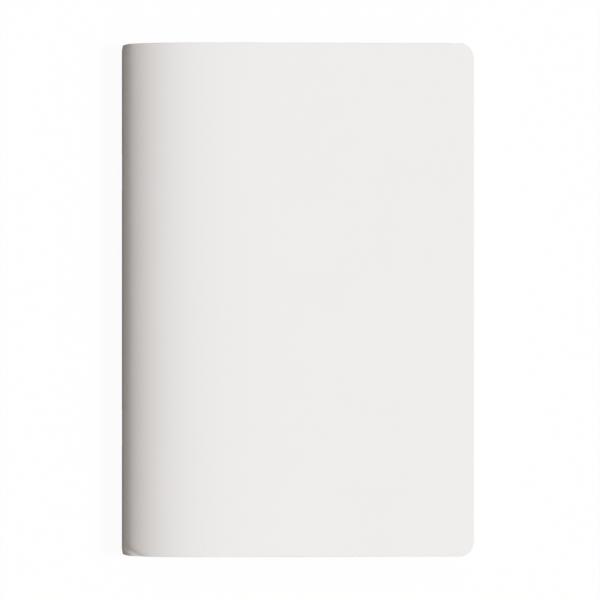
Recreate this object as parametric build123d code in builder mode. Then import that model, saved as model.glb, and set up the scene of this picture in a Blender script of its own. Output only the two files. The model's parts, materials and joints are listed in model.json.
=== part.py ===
"""A stapled exercise book: one folded card cover, nested folded sheets and two wire staples.

The book lies closed with its front cover up and its spine on the -X side. Every sheet and the
cover fold round one common line along Y, so each folded piece is split there into two flat leaves
and a fold strip. All leaves turn about that line.
"""
from build123d import *

from math import cos, radians, sin, tan
import os

# Driving sizes in millimetres and degrees
book_width = 145.0
book_height = 210.0
corner_radius = 6.35
sheet_count = 20
paper_thickness = 0.09
air_gap = 0.012
cover_thickness = 0.5
cover_rise_angle = 27.5
cover_fall_angle = 1.5
shoulder_length = 10.0
crown_length = 31.0
crown_share = 0.26
leaf_setback = 0.6
crease_gap = 0.04
wire_diameter = 0.4
wire_clearance = 0.04
wire_bend_radius = 0.35
staple_width = 12.5
staple_spacing = 105.0
clinch_gap = 2.0

# Sizes that follow from the driving sizes
sheet_pitch = paper_thickness + air_gap
core_radius = wire_diameter / 2 + 2 * wire_clearance
cover_inner_radius = core_radius + sheet_count * sheet_pitch
spine_radius = cover_inner_radius + cover_thickness
spine_face_x = -book_width / 2
fore_edge_x = book_width / 2
fold_line_x = spine_face_x + spine_radius
fold_line_z = spine_radius
crown_line_x = spine_face_x + wire_diameter / 2

os.makedirs("parts", exist_ok=True)


def sheet_radius(number):
    """Inner radius of a sheet's fold, where sheet 1 is the outermost."""
    return core_radius + (sheet_count - number) * sheet_pitch


def bow_share(number):
    """Share of the cover's bow that a front leaf has, where 0 is the cover."""
    return 1 - number / (sheet_count + 1)


def rise_angle(number):
    """Slope at which a front leaf leaves its fold, where 0 is the cover."""
    return cover_rise_angle * bow_share(number)


def save(piece, name):
    """Label a finished piece and write it to its own file."""
    piece.part.label = name
    export_step(piece.part, f"parts/{name}.step")


def tangent_point(radius, angle, distance):
    """Point on the straight run past a fold's upper end, in the section plane."""
    x = fold_line_x - radius * sin(radians(angle)) + distance * cos(radians(angle))
    z = fold_line_z + radius * cos(radians(angle)) + distance * sin(radians(angle))
    return (x, z)


def rear_panel(name, radius, thickness):
    """Flat leaf under the fold line, from its crease to the fore-edge."""
    start_x = fold_line_x + leaf_setback
    with BuildPart() as panel:
        with BuildSketch(Plane.XY.offset(fold_line_z - radius - thickness)):
            with Locations(((start_x + fore_edge_x) / 2, 0)):
                Rectangle(fore_edge_x - start_x, book_height)
        extrude(amount=thickness)
        fillet(panel.edges().filter_by(Axis.Z).group_by(Axis.X)[-1], corner_radius)
    save(panel, name)


def front_panel(name, number, radius, thickness):
    """Leaf over the fold line: it climbs from its crease, bends over in two arcs and falls to the fore-edge."""
    angle = rise_angle(number)
    fall = cover_fall_angle * bow_share(number)
    crown_turn = (angle + fall) * crown_share
    shoulder_turn = angle + fall - crown_turn
    end_x = fore_edge_x - thickness * sin(radians(fall))
    with BuildPart() as panel:
        with BuildSketch(Plane.XZ):
            with BuildLine():
                shoulder = JernArc(
                    start=tangent_point(radius, angle, leaf_setback),
                    tangent=(cos(radians(angle)), sin(radians(angle))),
                    radius=shoulder_length / radians(shoulder_turn),
                    arc_size=-shoulder_turn,
                )
                crown = JernArc(
                    start=shoulder @ 1,
                    tangent=shoulder % 1,
                    radius=crown_length / radians(crown_turn),
                    arc_size=-crown_turn,
                )
                drop = (end_x - (crown @ 1).X) * tan(radians(fall))
                Line(crown @ 1, (end_x, (crown @ 1).Y - drop))
                offset(amount=thickness, side=Side.LEFT)
            make_face()
        extrude(amount=book_height / 2, both=True)
        fore_edge = panel.faces().sort_by(Axis.X)[-1]
        fillet(fore_edge.edges().sort_by(SortBy.LENGTH)[:2], corner_radius)
    save(panel, name)


def fold_section(radius, thickness, angle):
    """Section of one fold: its half round and a short straight tail at each end."""
    tail_length = leaf_setback - crease_gap
    with BuildSketch(Plane.XZ) as section:
        with BuildLine():
            tail = Line(
                (fold_line_x + tail_length, fold_line_z - radius),
                (fold_line_x, fold_line_z - radius),
            )
            fold = JernArc(start=tail @ 1, tangent=(-1, 0), radius=radius, arc_size=-(180 - angle))
            Line(fold @ 1, tangent_point(radius, angle, tail_length))
            offset(amount=thickness, side=Side.LEFT)
        make_face()
    return section.sketch


# Staple places on the spine: holes for the legs, and grooves that the crowns are pressed into
with BuildSketch(Plane.YZ.offset(spine_face_x)) as leg_holes:
    with Locations((0, fold_line_z)):
        with GridLocations(staple_spacing, 0, 2, 1):
            with GridLocations(staple_width, 0, 2, 1):
                Circle(wire_diameter / 2 + wire_clearance)

with BuildSketch(Plane.YZ.offset(spine_face_x)) as crown_grooves:
    with Locations((0, fold_line_z)):
        with GridLocations(staple_spacing, 0, 2, 1):
            SlotCenterToCenter(staple_width, wire_diameter + 2 * wire_clearance)

# Cover: front panel, rear panel and the fold that joins them at the spine
front_panel("front_cover", 0, cover_inner_radius, cover_thickness)
rear_panel("rear_cover", cover_inner_radius, cover_thickness)

with BuildPart() as cover_spine:
    extrude(fold_section(cover_inner_radius, cover_thickness, rise_angle(0)), book_height / 2, both=True)
    extrude(leg_holes.sketch, spine_radius, mode=Mode.SUBTRACT)
    extrude(crown_grooves.sketch, wire_diameter + wire_clearance / 2, mode=Mode.SUBTRACT)
save(cover_spine, "cover_spine")

# Sheets: a front leaf, a rear leaf and a fold each, counted from the outermost
for number in range(1, sheet_count + 1):
    front_panel(f"front_leaf_{number:02d}", number, sheet_radius(number), paper_thickness)
    rear_panel(f"rear_leaf_{number:02d}", sheet_radius(number), paper_thickness)

with BuildPart() as sheet_folds:
    for number in range(1, sheet_count + 1):
        section = fold_section(sheet_radius(number), paper_thickness, rise_angle(number))
        extrude(section, book_height / 2, both=True)
    extrude(leg_holes.sketch, spine_radius, mode=Mode.SUBTRACT)
save(sheet_folds, "sheet_folds")

# Staples: the crown lies along the spine, the legs pierce every fold and the ends are clinched inwards
for name, middle_y in (("upper_staple", staple_spacing / 2), ("lower_staple", -staple_spacing / 2)):
    with BuildPart() as staple:
        with BuildLine(Plane.XY.offset(fold_line_z)) as wire:
            FilletPolyline(
                (fold_line_x, middle_y + clinch_gap / 2),
                (fold_line_x, middle_y + staple_width / 2),
                (crown_line_x, middle_y + staple_width / 2),
                (crown_line_x, middle_y - staple_width / 2),
                (fold_line_x, middle_y - staple_width / 2),
                (fold_line_x, middle_y - clinch_gap / 2),
                radius=wire_bend_radius,
            )
        with BuildSketch(Plane(origin=wire.line @ 0, z_dir=wire.line % 0)):
            Circle(wire_diameter / 2)
        sweep(path=wire.line)
    save(staple, name)
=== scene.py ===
"""Dress the stapled exercise book: card cover, ruled sheets and wire staples, lit from the fore-edge.

The cover and every sheet start as a flat sheet with round corners, get their thickness and are then
folded round the book's one fold line, so that each is a single piece.
"""
import json
from math import asin, atan, copysign, cos, erf, exp, log, pi, radians, sin, sqrt

import bmesh
import bpy
from bpy.props import FloatProperty, FloatVectorProperty, PointerProperty
from mathutils import Matrix, Vector


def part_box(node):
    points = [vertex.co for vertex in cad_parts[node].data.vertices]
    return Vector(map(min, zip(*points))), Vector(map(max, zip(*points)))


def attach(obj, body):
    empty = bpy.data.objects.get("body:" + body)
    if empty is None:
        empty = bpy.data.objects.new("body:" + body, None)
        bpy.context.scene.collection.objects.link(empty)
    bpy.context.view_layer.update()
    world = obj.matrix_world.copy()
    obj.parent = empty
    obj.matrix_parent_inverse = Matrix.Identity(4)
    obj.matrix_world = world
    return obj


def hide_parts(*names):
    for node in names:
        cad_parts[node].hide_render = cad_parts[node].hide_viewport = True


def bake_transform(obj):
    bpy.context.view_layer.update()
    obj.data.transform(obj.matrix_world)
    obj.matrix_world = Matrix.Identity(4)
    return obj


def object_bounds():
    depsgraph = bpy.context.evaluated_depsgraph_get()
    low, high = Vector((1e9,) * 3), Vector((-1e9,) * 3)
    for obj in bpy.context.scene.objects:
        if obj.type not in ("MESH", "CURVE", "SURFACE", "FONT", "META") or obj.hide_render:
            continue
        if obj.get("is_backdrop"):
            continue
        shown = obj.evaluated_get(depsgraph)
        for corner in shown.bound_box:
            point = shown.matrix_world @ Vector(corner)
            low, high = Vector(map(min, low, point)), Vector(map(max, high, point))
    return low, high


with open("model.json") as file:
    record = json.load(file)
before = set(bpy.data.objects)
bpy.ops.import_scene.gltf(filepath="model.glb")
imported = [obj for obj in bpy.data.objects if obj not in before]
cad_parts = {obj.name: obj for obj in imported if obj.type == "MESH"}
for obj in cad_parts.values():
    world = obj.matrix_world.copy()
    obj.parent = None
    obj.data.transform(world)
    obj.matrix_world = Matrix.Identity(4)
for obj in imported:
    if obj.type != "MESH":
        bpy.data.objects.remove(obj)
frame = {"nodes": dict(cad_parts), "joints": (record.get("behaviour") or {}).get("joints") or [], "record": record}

bl_info = {
    "name": "Exercise Book",
    "version": (1, 0, 0),
    "blender": (4, 5, 0),
    "location": "View3D > Sidebar > Exercise Book",
    "description": "Models the cover, sheets and staples of a stapled exercise book, and its stage",
    "category": "Object",
}

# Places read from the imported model, in metres
HINGE = next(joint for joint in frame["joints"] if joint["name"] == "front_cover_hinge")
FOLD_X, FOLD_Y, FOLD_Z = HINGE["pos_m"]
TURN_SHARES = {pair["joint"]: pair["ratio"] for pair in frame["record"]["behaviour"]["couplings"]}
CAD_LOW, CAD_HIGH = (tuple(corner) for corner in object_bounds())
SPINE_X = CAD_LOW[0]
FORE_EDGE_X = CAD_HIGH[0]
HALF_HEIGHT = CAD_HIGH[1]
SHEET_COUNT = sum(1 for node in frame["nodes"] if node.startswith("front_leaf_"))
STAPLES = ("upper_staple", "lower_staple")
COVER_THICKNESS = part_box("rear_cover")[1].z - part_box("rear_cover")[0].z
PAPER_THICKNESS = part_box("rear_leaf_01")[1].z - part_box("rear_leaf_01")[0].z
WIRE_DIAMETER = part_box("upper_staple")[1].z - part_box("upper_staple")[0].z

IMAGE_WIDTH_PX = 600
SENSOR_WIDTH_MM = 36.0

# How finely the flat sheets are scored: rows from head to foot, steps round the fold and along the bow
COVER_ROWS = 12
COVER_FOLD_STEPS = 56
COVER_BOW_STEPS = 56
SHEET_ROWS = 8
SHEET_FOLD_STEPS = 16
SHEET_BOW_STEPS = 20
CORNER_STEPS = 12
EDGE_STEPS = 2

# The bow's steps reach this many bow lengths past the crease, and a power crowds them towards it
BOW_REACH = 5.0
BOW_CROWDING = 1.6

# Extra rows, in metres: outward from a staple's legs, and inward from the head and the foot
STAPLE_ROWS = (-0.0030, -0.0012, -0.0005, 0.0, 0.0003, 0.0006, 0.0009, 0.0013, 0.0018)
END_ROWS = (0.00034, 0.00117, 0.00158, 0.00207, 0.00266, 0.00333, 0.0044, 0.00515, 0.0075)

# Narrow border along the cuts: of the cover in cut roundings, of a sheet in paper thicknesses
COVER_BORDER = 4
SHEET_BORDER = 2

# Staple wire: sides, steps of a bend, rounding of its ends and reach of its press marks in wire diameters
WIRE_SIDES = 16
BEND_STEPS = 6
WIRE_ROUNDING = 0.125
PRESS_ACROSS = 1.1
PRESS_BEYOND = 1.6

# Dent of the foot corner: spread and ramp as shares of its size,
# and the height over the fold line from which it has its full depth
DENT_SPREAD = 0.25
DENT_RAMP = 0.18
DENT_RISE = 0.0012

# Where the wear of the fold ends, in quarter turns from the middle of the spine
FOLD_WEAR_REACH = 1.6

# Angles between faces: more than the first at a cut, more than the others where the shading breaks
CUT_ANGLE = radians(60.0)
SHEET_SHARP_ANGLE = radians(40.0)
WIRE_SHARP_ANGLE = radians(50.0)

# Radians by which the stray and the waves move on from one sheet to the next
STRAY_PHASE = 5.1
RIPPLE_PHASE = 2.4

# Rounds in which the rise of a section settles
RISE_ROUNDS = 8

# Stage, in metres: half the floor's width, its distance under the book, and where the camera's view starts
FLOOR_REACH = 2.0
FLOOR_GAP = 0.00005
CLIP_START = 0.01


class BookSizes(bpy.types.PropertyGroup):
    """Sizes of the book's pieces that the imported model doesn't fix."""

    corner_radius: FloatProperty(
        name="Corner radius", description="Rounding of the fore-edge corners",
        default=0.00635, unit="LENGTH", subtype="DISTANCE", precision=5,
    )
    bow_length: FloatProperty(
        name="Bow length", description="Length over which the front leaves' slope fades along the bow",
        default=0.0122, unit="LENGTH", subtype="DISTANCE", precision=5,
    )
    crease_length: FloatProperty(
        name="Crease length",
        description="Length over which the front leaves' slope fades next to the fold",
        default=0.0023, unit="LENGTH", subtype="DISTANCE", precision=5,
    )
    crease_share: FloatProperty(
        name="Crease share", description="Share of the front leaves' slope that fades next to the fold",
        default=0.23, min=0.0, max=0.9, subtype="FACTOR",
    )
    fall_share: FloatProperty(
        name="Fall share",
        description="Fall of the front leaves to the fore-edge, as a share of their rise",
        default=0.047, min=0.001, max=0.5, subtype="FACTOR",
    )
    cut_rounding: FloatProperty(
        name="Cut rounding", description="Rounding of the cover's cut edges",
        default=0.00015, unit="LENGTH", subtype="DISTANCE", precision=6,
    )
    staple_dent: FloatProperty(
        name="Staple dent", description="Depth to which a staple's crown presses the spine in",
        default=0.00030, unit="LENGTH", subtype="DISTANCE", precision=6,
    )
    corner_dent: FloatVectorProperty(
        name="Corner dent",
        description="Width, height and depth of the dent across the foot corner of the spine",
        default=(0.0081, 0.0040, 0.00023), size=3, unit="LENGTH", subtype="XYZ", precision=5,
    )
    corner_bump: FloatVectorProperty(
        name="Corner bump",
        description="How far the worn ends of the spine are drawn in, across and along it",
        default=(0.00032, 0.00034), size=2, unit="LENGTH", subtype="XYZ", precision=5,
    )
    corner_reach: FloatVectorProperty(
        name="Corner reach", description="Width and height of the worn corners at the ends of the spine",
        default=(0.0040, 0.0030), size=2, unit="LENGTH", subtype="XYZ", precision=5,
    )
    leaf_stray: FloatProperty(
        name="Leaf stray", description="How far the front leaves lie from an even spacing",
        default=0.00008, unit="LENGTH", subtype="DISTANCE", precision=6,
    )
    ripple: FloatProperty(
        name="Ripple", description="Height of the waves in the front leaves",
        default=0.00002, unit="LENGTH", subtype="DISTANCE", precision=6,
    )
    ripple_length: FloatProperty(
        name="Ripple length", description="Length of the waves in the front leaves",
        default=0.12, unit="LENGTH", subtype="DISTANCE",
    )
    wire_bend: FloatProperty(
        name="Wire bend", description="Radius of the staple's bends at the middle of the wire",
        default=0.00035, unit="LENGTH", subtype="DISTANCE", precision=6,
    )
    clinch_gap: FloatProperty(
        name="Clinch gap", description="Space between the two clinched ends of a staple",
        default=0.002, unit="LENGTH", subtype="DISTANCE", precision=5,
    )
    rule_spacing: FloatProperty(
        name="Rule spacing", description="Distance between the printed lines of a page",
        default=0.008, unit="LENGTH", subtype="DISTANCE", precision=5,
    )
    rule_width: FloatProperty(
        name="Rule width", description="Width of a printed line",
        default=0.00022, unit="LENGTH", subtype="DISTANCE", precision=6,
    )
    head_margin: FloatProperty(
        name="Head margin", description="Unruled space at the head of a page",
        default=0.019, unit="LENGTH", subtype="DISTANCE", precision=5,
    )
    foot_margin: FloatProperty(
        name="Foot margin", description="Unruled space at the foot of a page",
        default=0.009, unit="LENGTH", subtype="DISTANCE", precision=5,
    )


class BookColours(bpy.types.PropertyGroup):
    """Colours of the book's finishes."""

    cover: FloatVectorProperty(
        name="Cover", description="Smooth outside of the cover card",
        default=(0.908, 0.908, 0.912), subtype="COLOR", size=3, min=0.0, max=1.0,
    )
    cover_inside: FloatVectorProperty(
        name="Cover inside", description="Uncoated inside and cut edge of the cover card",
        default=(0.600, 0.592, 0.577), subtype="COLOR", size=3, min=0.0, max=1.0,
    )
    paper: FloatVectorProperty(
        name="Paper", description="Page paper",
        default=(0.620, 0.608, 0.580), subtype="COLOR", size=3, min=0.0, max=1.0,
    )
    ruling: FloatVectorProperty(
        name="Ruling", description="Ink of the printed lines",
        default=(0.27, 0.36, 0.49), subtype="COLOR", size=3, min=0.0, max=1.0,
    )
    wire: FloatVectorProperty(
        name="Wire", description="Galvanised staple wire",
        default=(0.62, 0.61, 0.60), subtype="COLOR", size=3, min=0.0, max=1.0,
    )


class BookStage(bpy.types.PropertyGroup):
    """Camera, lamps and floor."""

    camera_distance: FloatProperty(
        name="Camera distance", description="Height of the camera over the front cover",
        default=0.76, unit="LENGTH", subtype="DISTANCE",
    )
    book_width_px: FloatProperty(
        name="Book width", description="Width of the book in the square image, in pixels",
        default=355.35, subtype="PIXEL",
    )
    book_centre_px: FloatVectorProperty(
        name="Book centre", description="Middle of the book in the square image, in pixels",
        default=(297.95, 299.85), size=2, subtype="COORDINATES",
    )
    key_elevation: FloatProperty(
        name="Key elevation", description="Height of the key lamp over the fore-edge side",
        default=radians(26.0), unit="ROTATION", subtype="ANGLE",
    )
    key_strength: FloatProperty(
        name="Key strength", description="Strength of the key lamp",
        default=4.29, min=0.0,
    )
    key_colour: FloatVectorProperty(
        name="Key colour", description="Cool tint of the key lamp",
        default=(0.935, 0.961, 1.0), subtype="COLOR", size=3, min=0.0, max=1.0,
    )
    key_size: FloatProperty(
        name="Key size", description="Width of the key lamp as seen from the book",
        default=radians(16.0), unit="ROTATION", subtype="ANGLE",
    )
    fill_strength: FloatProperty(
        name="Fill strength", description="Strength of the even light from all round",
        default=0.37, min=0.0,
    )
    fill_colour: FloatVectorProperty(
        name="Fill colour", description="Warm tint of the even light",
        default=(1.0, 0.902, 0.805), subtype="COLOR", size=3, min=0.0, max=1.0,
    )
    fill_lean: FloatProperty(
        name="Fill lean", description="How much stronger the even light is from the fore-edge side",
        default=0.68, min=0.0, max=1.0, subtype="FACTOR",
    )
    floor_colour: FloatVectorProperty(
        name="Floor colour", description="Colour of the floor as it lights the book",
        default=(0.18, 0.176, 0.172), subtype="COLOR", size=3, min=0.0, max=1.0,
    )
    floor_shadow: FloatProperty(
        name="Floor shadow", description="Share of the book's shadow that shows on the white floor",
        default=0.05, min=0.0, max=1.0, subtype="FACTOR",
    )


class Signal:
    """One output of a node, with arithmetic that adds Math nodes."""

    def __init__(self, nodes, socket):
        self.nodes = nodes
        self.socket = socket

    def _math(self, operation, first, second):
        return self.nodes.add("ShaderNodeMath", {"operation": operation}, {0: first, 1: second})

    def __add__(self, other):
        return self._math("ADD", self, other)

    def __radd__(self, other):
        return self._math("ADD", other, self)

    def __sub__(self, other):
        return self._math("SUBTRACT", self, other)

    def __rsub__(self, other):
        return self._math("SUBTRACT", other, self)

    def __mul__(self, other):
        return self._math("MULTIPLY", self, other)

    def __rmul__(self, other):
        return self._math("MULTIPLY", other, self)

    def __lt__(self, other):
        return self._math("LESS_THAN", self, other)

    def __gt__(self, other):
        return self._math("GREATER_THAN", self, other)


class Nodes:
    """The nodes of a material or world under construction."""

    def __init__(self, owner):
        owner.use_nodes = True
        self.tree = owner.node_tree
        self.tree.nodes.clear()

    def add(self, kind, settings=None, sockets=None, output=0):
        """Add a node, set it up, fill its sockets with values or links and return one output."""
        node = self.tree.nodes.new(kind)
        for name, value in (settings or {}).items():
            setattr(node, name, value)
        for key, value in (sockets or {}).items():
            if isinstance(value, Signal):
                self.tree.links.new(value.socket, node.inputs[key])
            else:
                node.inputs[key].default_value = value
        return Signal(self, node.outputs[output] if len(node.outputs) else None)

    def noise(self, place, scale, detail=2.0, roughness=0.5):
        """Cloudy noise over a place, from 0 to 1."""
        sockets = {"Vector": place, "Scale": scale, "Detail": detail, "Roughness": roughness}
        return self.add("ShaderNodeTexNoise", None, sockets, "Fac")

    def stretch(self, place, scale):
        """A place scaled apart along each axis."""
        return self.add("ShaderNodeMapping", None, {"Vector": place, "Scale": scale})

    def attribute(self, name):
        """A number that the piece's own points carry."""
        return self.add("ShaderNodeAttribute", {"attribute_name": name}, None, "Fac")

    def mix(self, share, first, second):
        """A colour between two colours."""
        settings = {"data_type": "RGBA", "clamp_factor": True}
        return self.add("ShaderNodeMix", settings, {0: share, 6: first, 7: second}, 2)

    def ramp(self, value, low, high):
        """A value eased from 0 at low to 1 at high."""
        settings = {"interpolation_type": "SMOOTHSTEP"}
        return self.add("ShaderNodeMapRange", settings, {"Value": value, 1: low, 2: high})

    def bump(self, height, distance, strength):
        """Surface relief from a height."""
        sockets = {"Height": height, "Distance": distance, "Strength": strength}
        return self.add("ShaderNodeBump", None, sockets)

    def blend(self, share, first, second):
        """A shader between two shaders."""
        return self.add("ShaderNodeMixShader", None, {0: share, 1: first, 2: second})


def tint(colour, factor=1.0):
    """A colour as a socket takes it, made lighter or darker by a factor."""
    return (*(channel * factor for channel in colour), 1.0)


def card_finish(colours):
    """Matte coated card outside, bare card inside and along the cuts, with a lightly worn fold."""
    material = bpy.data.materials.new("cover_card")
    nodes = Nodes(material)
    place = nodes.add("ShaderNodeTexCoord", output="Object")
    coat_fill = 0.65
    crack_depth = 0.6
    crack_tint = 0.35
    tooth = nodes.noise(place, scale=4200.0, detail=3.0, roughness=0.6)
    cloud = nodes.noise(place, scale=42.0)
    along_spine = nodes.stretch(place, (1.0, 0.05, 1.0))
    streak = nodes.noise(along_spine, scale=5200.0, roughness=0.6)
    coated = nodes.ramp(nodes.attribute("layer"), low=0.90, high=0.98)
    crack = nodes.ramp(streak, low=0.56, high=0.66) * nodes.attribute("fold")
    face = nodes.mix(cloud, tint(colours.cover, factor=0.988), tint(colours.cover))
    worn = nodes.mix(crack * crack_tint, face, tint(colours.cover_inside, factor=0.86))
    bare = nodes.mix(tooth, tint(colours.cover_inside, factor=0.93), tint(colours.cover_inside))
    height = tooth * (1.0 - coat_fill * coated) - crack * crack_depth
    shader = nodes.add("ShaderNodeBsdfPrincipled", None, {
        "Base Color": nodes.mix(coated, bare, worn),
        "Roughness": 0.97 - 0.03 * coated + 0.06 * (tooth - 0.5),
        "Normal": nodes.bump(height, distance=0.00002, strength=0.35),
        "Specular IOR Level": 0.05,
    })
    nodes.add("ShaderNodeOutputMaterial", None, {"Surface": shader})
    return material


def paper_finish(sizes, colours):
    """Uncoated page paper with thin printed lines from side to side."""
    material = bpy.data.materials.new("page_paper")
    nodes = Nodes(material)
    place = nodes.add("ShaderNodeTexCoord", output="Object")
    fibre = nodes.noise(place, scale=2600.0, detail=4.0, roughness=0.65)
    cloud = nodes.noise(place, scale=160.0)
    up = nodes.add("ShaderNodeSeparateXYZ", None, {"Vector": place}, "Y")
    first_line = HALF_HEIGHT - sizes.head_margin
    foot_line = sizes.foot_margin - HALF_HEIGHT
    wave = {0: up - first_line, 1: sizes.rule_spacing / 2}
    off_line = nodes.add("ShaderNodeMath", {"operation": "PINGPONG"}, wave)
    line = 1.0 - nodes.ramp(off_line, low=0.35 * sizes.rule_width, high=0.65 * sizes.rule_width)
    ruled = line * (up < first_line + sizes.rule_width) * (up > foot_line) * nodes.attribute("page")
    ink = ruled * (0.6 + 0.4 * fibre)
    sheet = nodes.mix(cloud, tint(colours.paper, factor=0.97), tint(colours.paper))
    shader = nodes.add("ShaderNodeBsdfPrincipled", None, {
        "Base Color": nodes.mix(ink, sheet, tint(colours.ruling)),
        "Roughness": 0.95 + 0.08 * (fibre - 0.5),
        "Normal": nodes.bump(fibre, distance=0.000015, strength=0.35),
        "Specular IOR Level": 0.05,
    })
    nodes.add("ShaderNodeOutputMaterial", None, {"Surface": shader})
    return material


def wire_finish(colours):
    """Drawn galvanised wire with fine lines along it and a dull bloom."""
    material = bpy.data.materials.new("staple_wire")
    nodes = Nodes(material)
    place = nodes.add("ShaderNodeTexCoord", output="Object")
    along_spine = nodes.stretch(place, (1.0, 0.04, 1.0))
    drawn = nodes.noise(along_spine, scale=16000.0, roughness=0.6)
    bloom = nodes.noise(place, scale=1400.0, detail=3.0, roughness=0.6)
    shader = nodes.add("ShaderNodeBsdfPrincipled", None, {
        "Base Color": nodes.mix(bloom, tint(colours.wire, factor=0.78), tint(colours.wire)),
        "Roughness": 0.24 + 0.22 * bloom,
        "Normal": nodes.bump(drawn, distance=0.000006, strength=0.4),
        "Metallic": 1.0,
    })
    nodes.add("ShaderNodeOutputMaterial", None, {"Surface": shader})
    return material


def floor_finish(stage):
    """White floor to the eye, with a share of the shadow, that lights the book as a pale grey one."""
    material = bpy.data.materials.new("studio_floor")
    nodes = Nodes(material)
    white = nodes.add("ShaderNodeEmission", None, {"Color": (1.0, 1.0, 1.0, 1.0), "Strength": 1.0})
    shaded = nodes.add("ShaderNodeBsdfDiffuse", None, {"Color": (1.0, 1.0, 1.0, 1.0)})
    pale = nodes.add("ShaderNodeBsdfDiffuse", None, {"Color": tint(stage.floor_colour)})
    shown = nodes.blend(stage.floor_shadow, white, shaded)
    shader = nodes.blend(seen_directly(nodes), pale, shown)
    nodes.add("ShaderNodeOutputMaterial", None, {"Surface": shader})
    return material


def seen_directly(nodes):
    """1 for rays that show the background to the eye, in a mirror or through glass."""
    camera, glossy, clear = (
        nodes.add("ShaderNodeLightPath", output=kind)
        for kind in ("Is Camera Ray", "Is Glossy Ray", "Is Transmission Ray")
    )
    return camera + glossy + clear


class Section:
    """Section of a folded sheet: a flat rear leaf, a round fold and a front leaf that bulges.

    The front leaf leaves the fold at its steepest. Its slope fades fast next to the fold and slowly
    along the bow, until it falls gently to the fore-edge. How steep it starts follows from the height
    of its top.
    """

    def __init__(self, radius, thickness, top, sizes):
        self.radius = radius
        self.bow = sizes.bow_length
        self.fall = sizes.fall_share
        self.crease = sizes.crease_length
        self.tight = (1.0 + self.fall) * sizes.crease_share
        self.wide = (1.0 + self.fall) * (1.0 - sizes.crease_share)
        crest = self.bow * log(self.wide / self.fall)
        peak = self.raised(crest)
        rise = 0.0
        for _ in range(RISE_ROUNDS):
            self.crease_z = FOLD_Z + radius * cos(rise)
            self.slope = (top - thickness - self.crease_z) / peak
            rise = atan(self.slope)
        self.turn = pi - rise
        self.crease_x = FOLD_X - radius * sin(rise)
        self.rear_length = FORE_EDGE_X - FOLD_X
        self.fold_length = (radius + thickness / 2) * self.turn
        overhang = thickness * sin(atan(self.fall * self.slope))
        self.front_length = FORE_EDGE_X - overhang - self.crease_x

    def steep(self, run):
        """Slope at a distance past the fold, as a share of the slope there."""
        tight = self.tight * exp(-((run / self.crease) ** 2))
        return tight + self.wide * exp(-run / self.bow) - self.fall

    def raised(self, run):
        """Height gained at a distance past the fold, for a slope of 1 there."""
        tight = self.tight * self.crease * sqrt(pi) / 2 * erf(run / self.crease)
        return tight + self.wide * self.bow * (1.0 - exp(-run / self.bow)) - self.fall * run

    def place(self, along, y, depth):
        """Point of the folded sheet for a point of the flat one.

        Along is 0 at the rear crease, and depth is 0 on the inside.
        """
        if along < 0.0:
            return Vector((FOLD_X - along, y, FOLD_Z - self.radius - depth))
        if along < self.fold_length:
            angle = self.turn * along / self.fold_length
            reach = self.radius + depth
            return Vector((FOLD_X - reach * sin(angle), y, FOLD_Z - reach * cos(angle)))
        run = along - self.fold_length
        tilt = atan(self.slope * self.steep(run))
        x = self.crease_x + run - depth * sin(tilt)
        z = self.crease_z + self.slope * self.raised(run) + depth * cos(tilt)
        return Vector((x, y, z))

    def cuts(self, fold_steps, bow_steps):
        """Places along the flat sheet where it has to bend, closest together near the crease."""
        fold = [self.fold_length * step / fold_steps for step in range(fold_steps + 1)]
        shares = [(step / bow_steps) ** BOW_CROWDING for step in range(1, bow_steps + 1)]
        return fold + [self.fold_length + self.bow * BOW_REACH * share for share in shares]


def cut_sheet(section, thickness, corner_radius, border, along_cuts, y_cuts):
    """Flat sheet with round corners and a narrow border, scored and raised to its thickness."""
    sheet = bmesh.new()
    length = section.rear_length + section.fold_length + section.front_length
    bmesh.ops.create_grid(sheet, x_segments=1, y_segments=1, size=0.5)
    bmesh.ops.scale(sheet, vec=(length, 2 * HALF_HEIGHT, 1.0), verts=sheet.verts[:])
    bmesh.ops.translate(sheet, vec=(length / 2 - section.rear_length, 0.0, 0.0), verts=sheet.verts[:])
    bmesh.ops.bevel(
        sheet, geom=sheet.verts[:], offset=corner_radius, segments=CORNER_STEPS,
        profile=0.5, affect="VERTICES", material=-1,
    )
    bmesh.ops.inset_region(
        sheet, faces=sheet.faces[:], thickness=border, use_boundary=True, use_even_offset=True,
    )
    scores = [((along, 0.0, 0.0), (1.0, 0.0, 0.0)) for along in along_cuts]
    scores += [((0.0, y, 0.0), (0.0, 1.0, 0.0)) for y in y_cuts]
    for point, normal in scores:
        whole = sheet.verts[:] + sheet.edges[:] + sheet.faces[:]
        bmesh.ops.bisect_plane(sheet, geom=whole, plane_co=point, plane_no=normal)
    raised = bmesh.ops.extrude_face_region(sheet, geom=sheet.faces[:])
    top = [element for element in raised["geom"] if isinstance(element, bmesh.types.BMVert)]
    bmesh.ops.translate(sheet, vec=(0.0, 0.0, thickness), verts=top)
    bmesh.ops.recalc_face_normals(sheet, faces=sheet.faces[:])
    return sheet


def cut_edges(shape):
    """Edges where a cut meets a face."""
    return [edge for edge in shape.edges if edge.calc_face_angle(0.0) > CUT_ANGLE]


def add_piece(shape, name, material, sharp_angle):
    """Turn a shape into a smooth-shaded object of the scene."""
    mesh = bpy.data.meshes.new(name)
    shape.to_mesh(mesh)
    shape.free()
    mesh.shade_smooth()
    mesh.set_sharp_from_angle(angle=sharp_angle)
    mesh.materials.append(material)
    piece = bpy.data.objects.new(name, mesh)
    bpy.context.scene.collection.objects.link(piece)
    return piece


def ease(value):
    """Smooth step from 0 to 1."""
    value = min(1.0, max(0.0, value))
    return value * value * (3.0 - 2.0 * value)


def staple_place(node):
    """Middle of a staple along the spine, and half the distance between its legs."""
    low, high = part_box(node)
    return (low.y + high.y) / 2, (high.y - low.y - WIRE_DIAMETER) / 2


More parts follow.
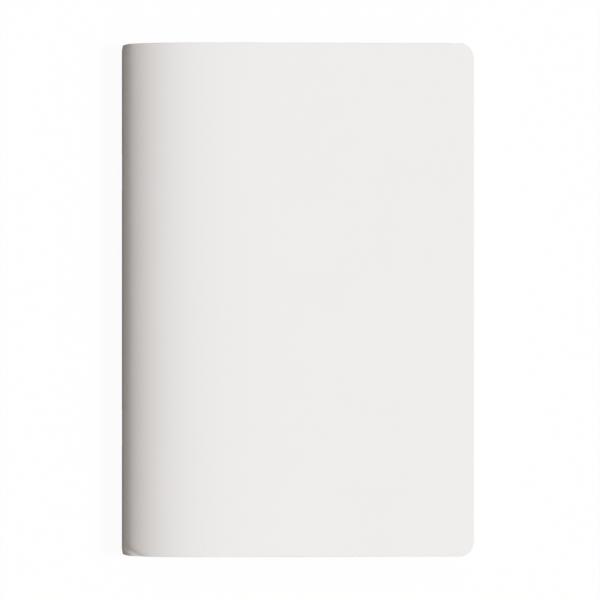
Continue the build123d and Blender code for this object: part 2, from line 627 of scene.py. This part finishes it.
def staple_press(off_middle, y, places):
    """How far, from 0 to 1, the crowns press the spine in at a distance from its middle line."""
    across = exp(-((off_middle / (PRESS_ACROSS * WIRE_DIAMETER)) ** 2))
    beyond = min(max(0.0, abs(y - middle) - half) for middle, half in places)
    return across * exp(-((beyond / (PRESS_BEYOND * WIRE_DIAMETER)) ** 2))


def wear_corner(point, sizes):
    """Draw in a point near either end of the spine, where handling has bumped the corners."""
    width, height = sizes.corner_reach
    across, along = sizes.corner_bump
    from_spine = ease(1.0 - (point.x - SPINE_X) / width)
    worn = from_spine * ease(1.0 - (HALF_HEIGHT - abs(point.y)) / height)
    point.x += across * worn
    point.y -= copysign(along * worn, point.y)


def corner_press(point, sizes):
    """How deep the book is dented along a slanting line across the foot corner of the spine."""
    width, height, depth = sizes.corner_dent
    across = (point.x - SPINE_X) / width
    up = (point.y + HALF_HEIGHT) / height
    on_line = exp(-(((across + up - 1.0) / DENT_SPREAD) ** 2))
    above_fold = min(1.0, max(0.0, (point.z - FOLD_Z) / DENT_RISE))
    return depth * on_line * above_fold * ease(across / DENT_RAMP)


def shape_cover(sizes):
    """Cover card folded round the pages, pressed in by the staples and worn at the ends of the spine."""
    radius = FOLD_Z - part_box("rear_cover")[1].z
    section = Section(radius, COVER_THICKNESS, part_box("front_cover")[1].z, sizes)
    rows = [HALF_HEIGHT * step / COVER_ROWS for step in range(1 - COVER_ROWS, COVER_ROWS)]
    rows += [offset - HALF_HEIGHT for offset in END_ROWS]
    rows += [HALF_HEIGHT - offset for offset in END_ROWS]
    places = [staple_place(node) for node in STAPLES]
    for middle, half in places:
        rows += [middle + half + offset for offset in STAPLE_ROWS]
        rows += [middle - half - offset for offset in STAPLE_ROWS]
    cuts = section.cuts(COVER_FOLD_STEPS, COVER_BOW_STEPS)
    border = COVER_BORDER * sizes.cut_rounding
    card = cut_sheet(section, COVER_THICKNESS, sizes.corner_radius, border, cuts, rows)
    bmesh.ops.bevel(
        card, geom=cut_edges(card), offset=sizes.cut_rounding, segments=EDGE_STEPS,
        profile=0.5, affect="EDGES", material=-1,
    )
    layer = card.verts.layers.float.new("layer")
    fold = card.verts.layers.float.new("fold")
    spine_line = section.fold_length * (pi / 2) / section.turn
    for point in card.verts:
        along, y, depth = point.co
        share = depth / COVER_THICKNESS
        off_middle = along - spine_line
        point[layer] = share
        point[fold] = share * ease(FOLD_WEAR_REACH - abs(off_middle) / spine_line)
        dent = sizes.staple_dent * share * staple_press(off_middle, y, places)
        point.co = section.place(along, y, depth - dent)
        point.co.z -= corner_press(point.co, sizes)
        wear_corner(point.co, sizes)
    return card, section


def shape_sheet(sizes, number):
    """One page sheet folded round the fold line, where sheet 1 is the outermost."""
    leaf = f"leaf_{number:02d}"
    radius = FOLD_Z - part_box(f"rear_{leaf}")[1].z
    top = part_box(f"front_{leaf}")[1].z + sizes.leaf_stray * sin(STRAY_PHASE * number)
    section = Section(radius, PAPER_THICKNESS, top, sizes)
    rows = [HALF_HEIGHT * step / SHEET_ROWS for step in range(1 - SHEET_ROWS, SHEET_ROWS)]
    rows += [end * (HALF_HEIGHT - offset) for offset in END_ROWS for end in (-1, 1)]
    cuts = section.cuts(SHEET_FOLD_STEPS, SHEET_BOW_STEPS)
    border = SHEET_BORDER * PAPER_THICKNESS
    sheet = cut_sheet(section, PAPER_THICKNESS, sizes.corner_radius, border, cuts, rows)
    page = sheet.verts.layers.float.new("page")
    rim = {point for edge in cut_edges(sheet) for point in edge.verts}
    for point in sheet.verts:
        along, y, depth = point.co
        point[page] = point not in rim
        point.co = section.place(along, y, depth)
        run = max(0.0, along - section.fold_length)
        swell = sin(RIPPLE_PHASE * number + 2 * pi * y / sizes.ripple_length)
        point.co.z += sizes.ripple * swell * ease(run / section.front_length)
        point.co.z -= corner_press(point.co, sizes)
        wear_corner(point.co, sizes)
    return sheet, section


def shape_staple(sizes, node):
    """Round wire bent into a crown, two legs and two clinched ends, all in the plane of the fold line."""
    middle, half = staple_place(node)
    bend = sizes.wire_bend
    crown_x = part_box(node)[0].x + WIRE_DIAMETER / 2
    clinch = half - bend - sizes.clinch_gap / 2
    leg = FOLD_X - crown_x - 2 * bend
    position = Vector((FOLD_X, middle + sizes.clinch_gap / 2, FOLD_Z))
    heading = Vector((0.0, 1.0, 0.0))
    left_turn = Matrix.Rotation(pi / 2, 3, "Z")
    wire = bmesh.new()
    bmesh.ops.create_circle(
        wire, segments=WIRE_SIDES, radius=WIRE_DIAMETER / 2,
        matrix=Matrix.Translation(position) @ Matrix.Rotation(pi / 2, 4, "X"),
    )
    ring = wire.edges[:]
    runs = (clinch, leg, 2 * (half - bend), leg, clinch)
    for number, run in enumerate(runs):
        if number:
            side = left_turn @ heading
            bent = bmesh.ops.spin(
                wire, geom=ring, cent=position + bend * side, axis=(0.0, 0.0, 1.0),
                angle=pi / 2, steps=BEND_STEPS,
            )
            ring = [part for part in bent["geom_last"] if isinstance(part, bmesh.types.BMEdge)]
            position = position + bend * (heading + side)
            heading = side
        grown = bmesh.ops.extrude_edge_only(wire, edges=ring)["geom"]
        points = [part for part in grown if isinstance(part, bmesh.types.BMVert)]
        bmesh.ops.translate(wire, vec=run * heading, verts=points)
        ring = [edge for edge in grown if isinstance(edge, bmesh.types.BMEdge) and edge.is_boundary]
        position = position + run * heading
    bmesh.ops.holes_fill(wire, edges=[edge for edge in wire.edges if edge.is_boundary], sides=0)
    bmesh.ops.recalc_face_normals(wire, faces=wire.faces[:])
    bmesh.ops.bevel(
        wire, geom=cut_edges(wire), offset=WIRE_ROUNDING * WIRE_DIAMETER, segments=EDGE_STEPS,
        profile=0.5, affect="EDGES", material=-1,
    )
    return wire


def fold_ends(section, rear_share, front_share):
    """Points under and over a fold, spaced so that the fold's middle sits at the share at which the staples turn.
    """
    middle_share = (TURN_SHARES["spine_hinge"] - rear_share) / front_share
    middle = 0.5 - sin(asin(1.0 - 2.0 * middle_share) / 3.0)
    start_z = FOLD_Z - section.radius
    end_z = start_z + section.radius / middle
    return (FOLD_X, FOLD_Y, start_z), (FOLD_X, FOLD_Y, end_z)


class EXERCISE_BOOK_OT_make_cover(bpy.types.Operator):
    """Make the card cover as one folded piece"""

    bl_idname = "exercise_book.make_cover"
    bl_label = "Make Cover"

    def execute(self, context):
        card, section = shape_cover(context.scene.book_sizes)
        finish = card_finish(context.scene.book_colours)
        cover = add_piece(card, "cover", finish, SHEET_SHARP_ANGLE)
        start, end = fold_ends(section, 0.0, 1.0)
        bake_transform(cover)
        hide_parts("front_cover", "rear_cover", "cover_spine")
        return {"FINISHED"}


class EXERCISE_BOOK_OT_make_sheets(bpy.types.Operator):
    """Make the folded page sheets, from the outermost to the innermost"""

    bl_idname = "exercise_book.make_sheets"
    bl_label = "Make Sheets"

    def execute(self, context):
        sizes = context.scene.book_sizes
        finish = paper_finish(sizes, context.scene.book_colours)
        for number in range(1, SHEET_COUNT + 1):
            leaf = f"leaf_{number:02d}"
            shape, section = shape_sheet(sizes, number)
            sheet = add_piece(shape, f"sheet_{number:02d}", finish, SHEET_SHARP_ANGLE)
            turns = [TURN_SHARES[f"{side}_{leaf}_hinge"] for side in ("rear", "front")]
            start, end = fold_ends(section, *turns)
            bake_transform(sheet)
            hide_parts(f"rear_{leaf}", f"front_{leaf}")
            if number == 1:
                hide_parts("sheet_folds")
        return {"FINISHED"}


class EXERCISE_BOOK_OT_make_staples(bpy.types.Operator):
    """Make the two wire staples in the fold"""

    bl_idname = "exercise_book.make_staples"
    bl_label = "Make Staples"

    def execute(self, context):
        finish = wire_finish(context.scene.book_colours)
        for node in STAPLES:
            wire = shape_staple(context.scene.book_sizes, node)
            staple = add_piece(wire, f"{node}_wire", finish, WIRE_SHARP_ANGLE)
            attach(staple, "spine")
            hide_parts(node)
        return {"FINISHED"}


class EXERCISE_BOOK_OT_make_stage(bpy.types.Operator):
    """Set up the floor, the lamps and the camera over the book"""

    bl_idname = "exercise_book.make_stage"
    bl_label = "Make Stage"

    def execute(self, context):
        scene = context.scene
        stage = scene.book_stage
        scene.view_settings.view_transform = "Standard"
        self.lay_floor(scene, stage)
        self.light_book(scene, stage)
        self.place_camera(scene, stage)
        return {"FINISHED"}

    def lay_floor(self, scene, stage):
        """A wide white floor just under the book."""
        shape = bmesh.new()
        bmesh.ops.create_grid(shape, x_segments=1, y_segments=1, size=FLOOR_REACH)
        bmesh.ops.translate(shape, vec=(0.0, 0.0, CAD_LOW[2] - FLOOR_GAP), verts=shape.verts[:])
        mesh = bpy.data.meshes.new("floor")
        shape.to_mesh(mesh)
        shape.free()
        mesh.materials.append(floor_finish(stage))
        floor = bpy.data.objects.new("floor", mesh)
        scene.collection.objects.link(floor)
        floor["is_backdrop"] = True

    def light_book(self, scene, stage):
        """A soft low key lamp from the fore-edge side and a warm fill that leans the same way."""
        key = bpy.data.lights.new("key", "SUN")
        key.energy = stage.key_strength
        key.color = stage.key_colour
        key.angle = stage.key_size
        lamp = bpy.data.objects.new("key", key)
        toward = Vector((-cos(stage.key_elevation), 0.0, -sin(stage.key_elevation)))
        lamp.rotation_euler = toward.to_track_quat("-Z", "Y").to_euler()
        lamp.location = -toward
        scene.collection.objects.link(lamp)
        world = bpy.data.worlds.new("studio")
        nodes = Nodes(world)
        toward_sky = nodes.add("ShaderNodeTexCoord", output="Generated")
        sideways = nodes.add("ShaderNodeSeparateXYZ", None, {"Vector": toward_sky}, "X")
        strength = stage.fill_strength * (1.0 + stage.fill_lean * sideways)
        fill_sockets = {"Color": tint(stage.fill_colour), "Strength": strength}
        fill = nodes.add("ShaderNodeBackground", None, fill_sockets)
        white = nodes.add("ShaderNodeBackground", None, {"Color": tint((1.0, 1.0, 1.0)), "Strength": 1.0})
        shader = nodes.blend(seen_directly(nodes), fill, white)
        nodes.add("ShaderNodeOutputWorld", None, {"Surface": shader})
        scene.world = world

    def place_camera(self, scene, stage):
        """A camera straight over the book, with the head of the book at the top of the image."""
        metres_per_px = (FORE_EDGE_X - SPINE_X) / stage.book_width_px
        middle_px = IMAGE_WIDTH_PX / 2
        right = (middle_px - stage.book_centre_px[0]) * metres_per_px
        up = (stage.book_centre_px[1] - middle_px) * metres_per_px
        eye = bpy.data.cameras.new("camera")
        eye.sensor_width = SENSOR_WIDTH_MM
        view_width = IMAGE_WIDTH_PX * metres_per_px
        eye.lens = SENSOR_WIDTH_MM * stage.camera_distance / view_width
        eye.clip_start = CLIP_START
        camera = bpy.data.objects.new("camera", eye)
        camera.location = (right, up, CAD_HIGH[2] + stage.camera_distance)
        scene.collection.objects.link(camera)
        scene.camera = camera


class EXERCISE_BOOK_PT_sidebar(bpy.types.Panel):
    """Lists the book's sizes, colours and steps"""

    bl_idname = "EXERCISE_BOOK_PT_sidebar"
    bl_label = "Exercise Book"
    bl_space_type = "VIEW_3D"
    bl_region_type = "UI"
    bl_category = "Exercise Book"

    def draw(self, context):
        scene = context.scene
        for group in (scene.book_sizes, scene.book_colours, scene.book_stage):
            column = self.layout.column(align=True)
            for name in group.bl_rna.properties.keys():
                if name not in ("rna_type", "name"):
                    column.prop(group, name)
        for operator in OPERATORS:
            self.layout.operator(operator.bl_idname)


OPERATORS = (
    EXERCISE_BOOK_OT_make_stage,
    EXERCISE_BOOK_OT_make_cover,
    EXERCISE_BOOK_OT_make_sheets,
    EXERCISE_BOOK_OT_make_staples,
)
CLASSES = (BookSizes, BookColours, BookStage, *OPERATORS, EXERCISE_BOOK_PT_sidebar)


def register():
    """Add the classes and the book's settings to the scene."""
    for kind in CLASSES:
        bpy.utils.register_class(kind)
    bpy.types.Scene.book_sizes = PointerProperty(type=BookSizes)
    bpy.types.Scene.book_colours = PointerProperty(type=BookColours)
    bpy.types.Scene.book_stage = PointerProperty(type=BookStage)


def unregister():
    """Take the book's settings and classes away again."""
    del bpy.types.Scene.book_stage
    del bpy.types.Scene.book_colours
    del bpy.types.Scene.book_sizes
    for kind in reversed(CLASSES):
        bpy.utils.unregister_class(kind)


def main():
    """Make the whole book and its stage."""
    register()
    bpy.ops.exercise_book.make_stage()
    bpy.ops.exercise_book.make_cover()
    bpy.ops.exercise_book.make_sheets()
    bpy.ops.exercise_book.make_staples()


if __name__ == "__main__":
    main()
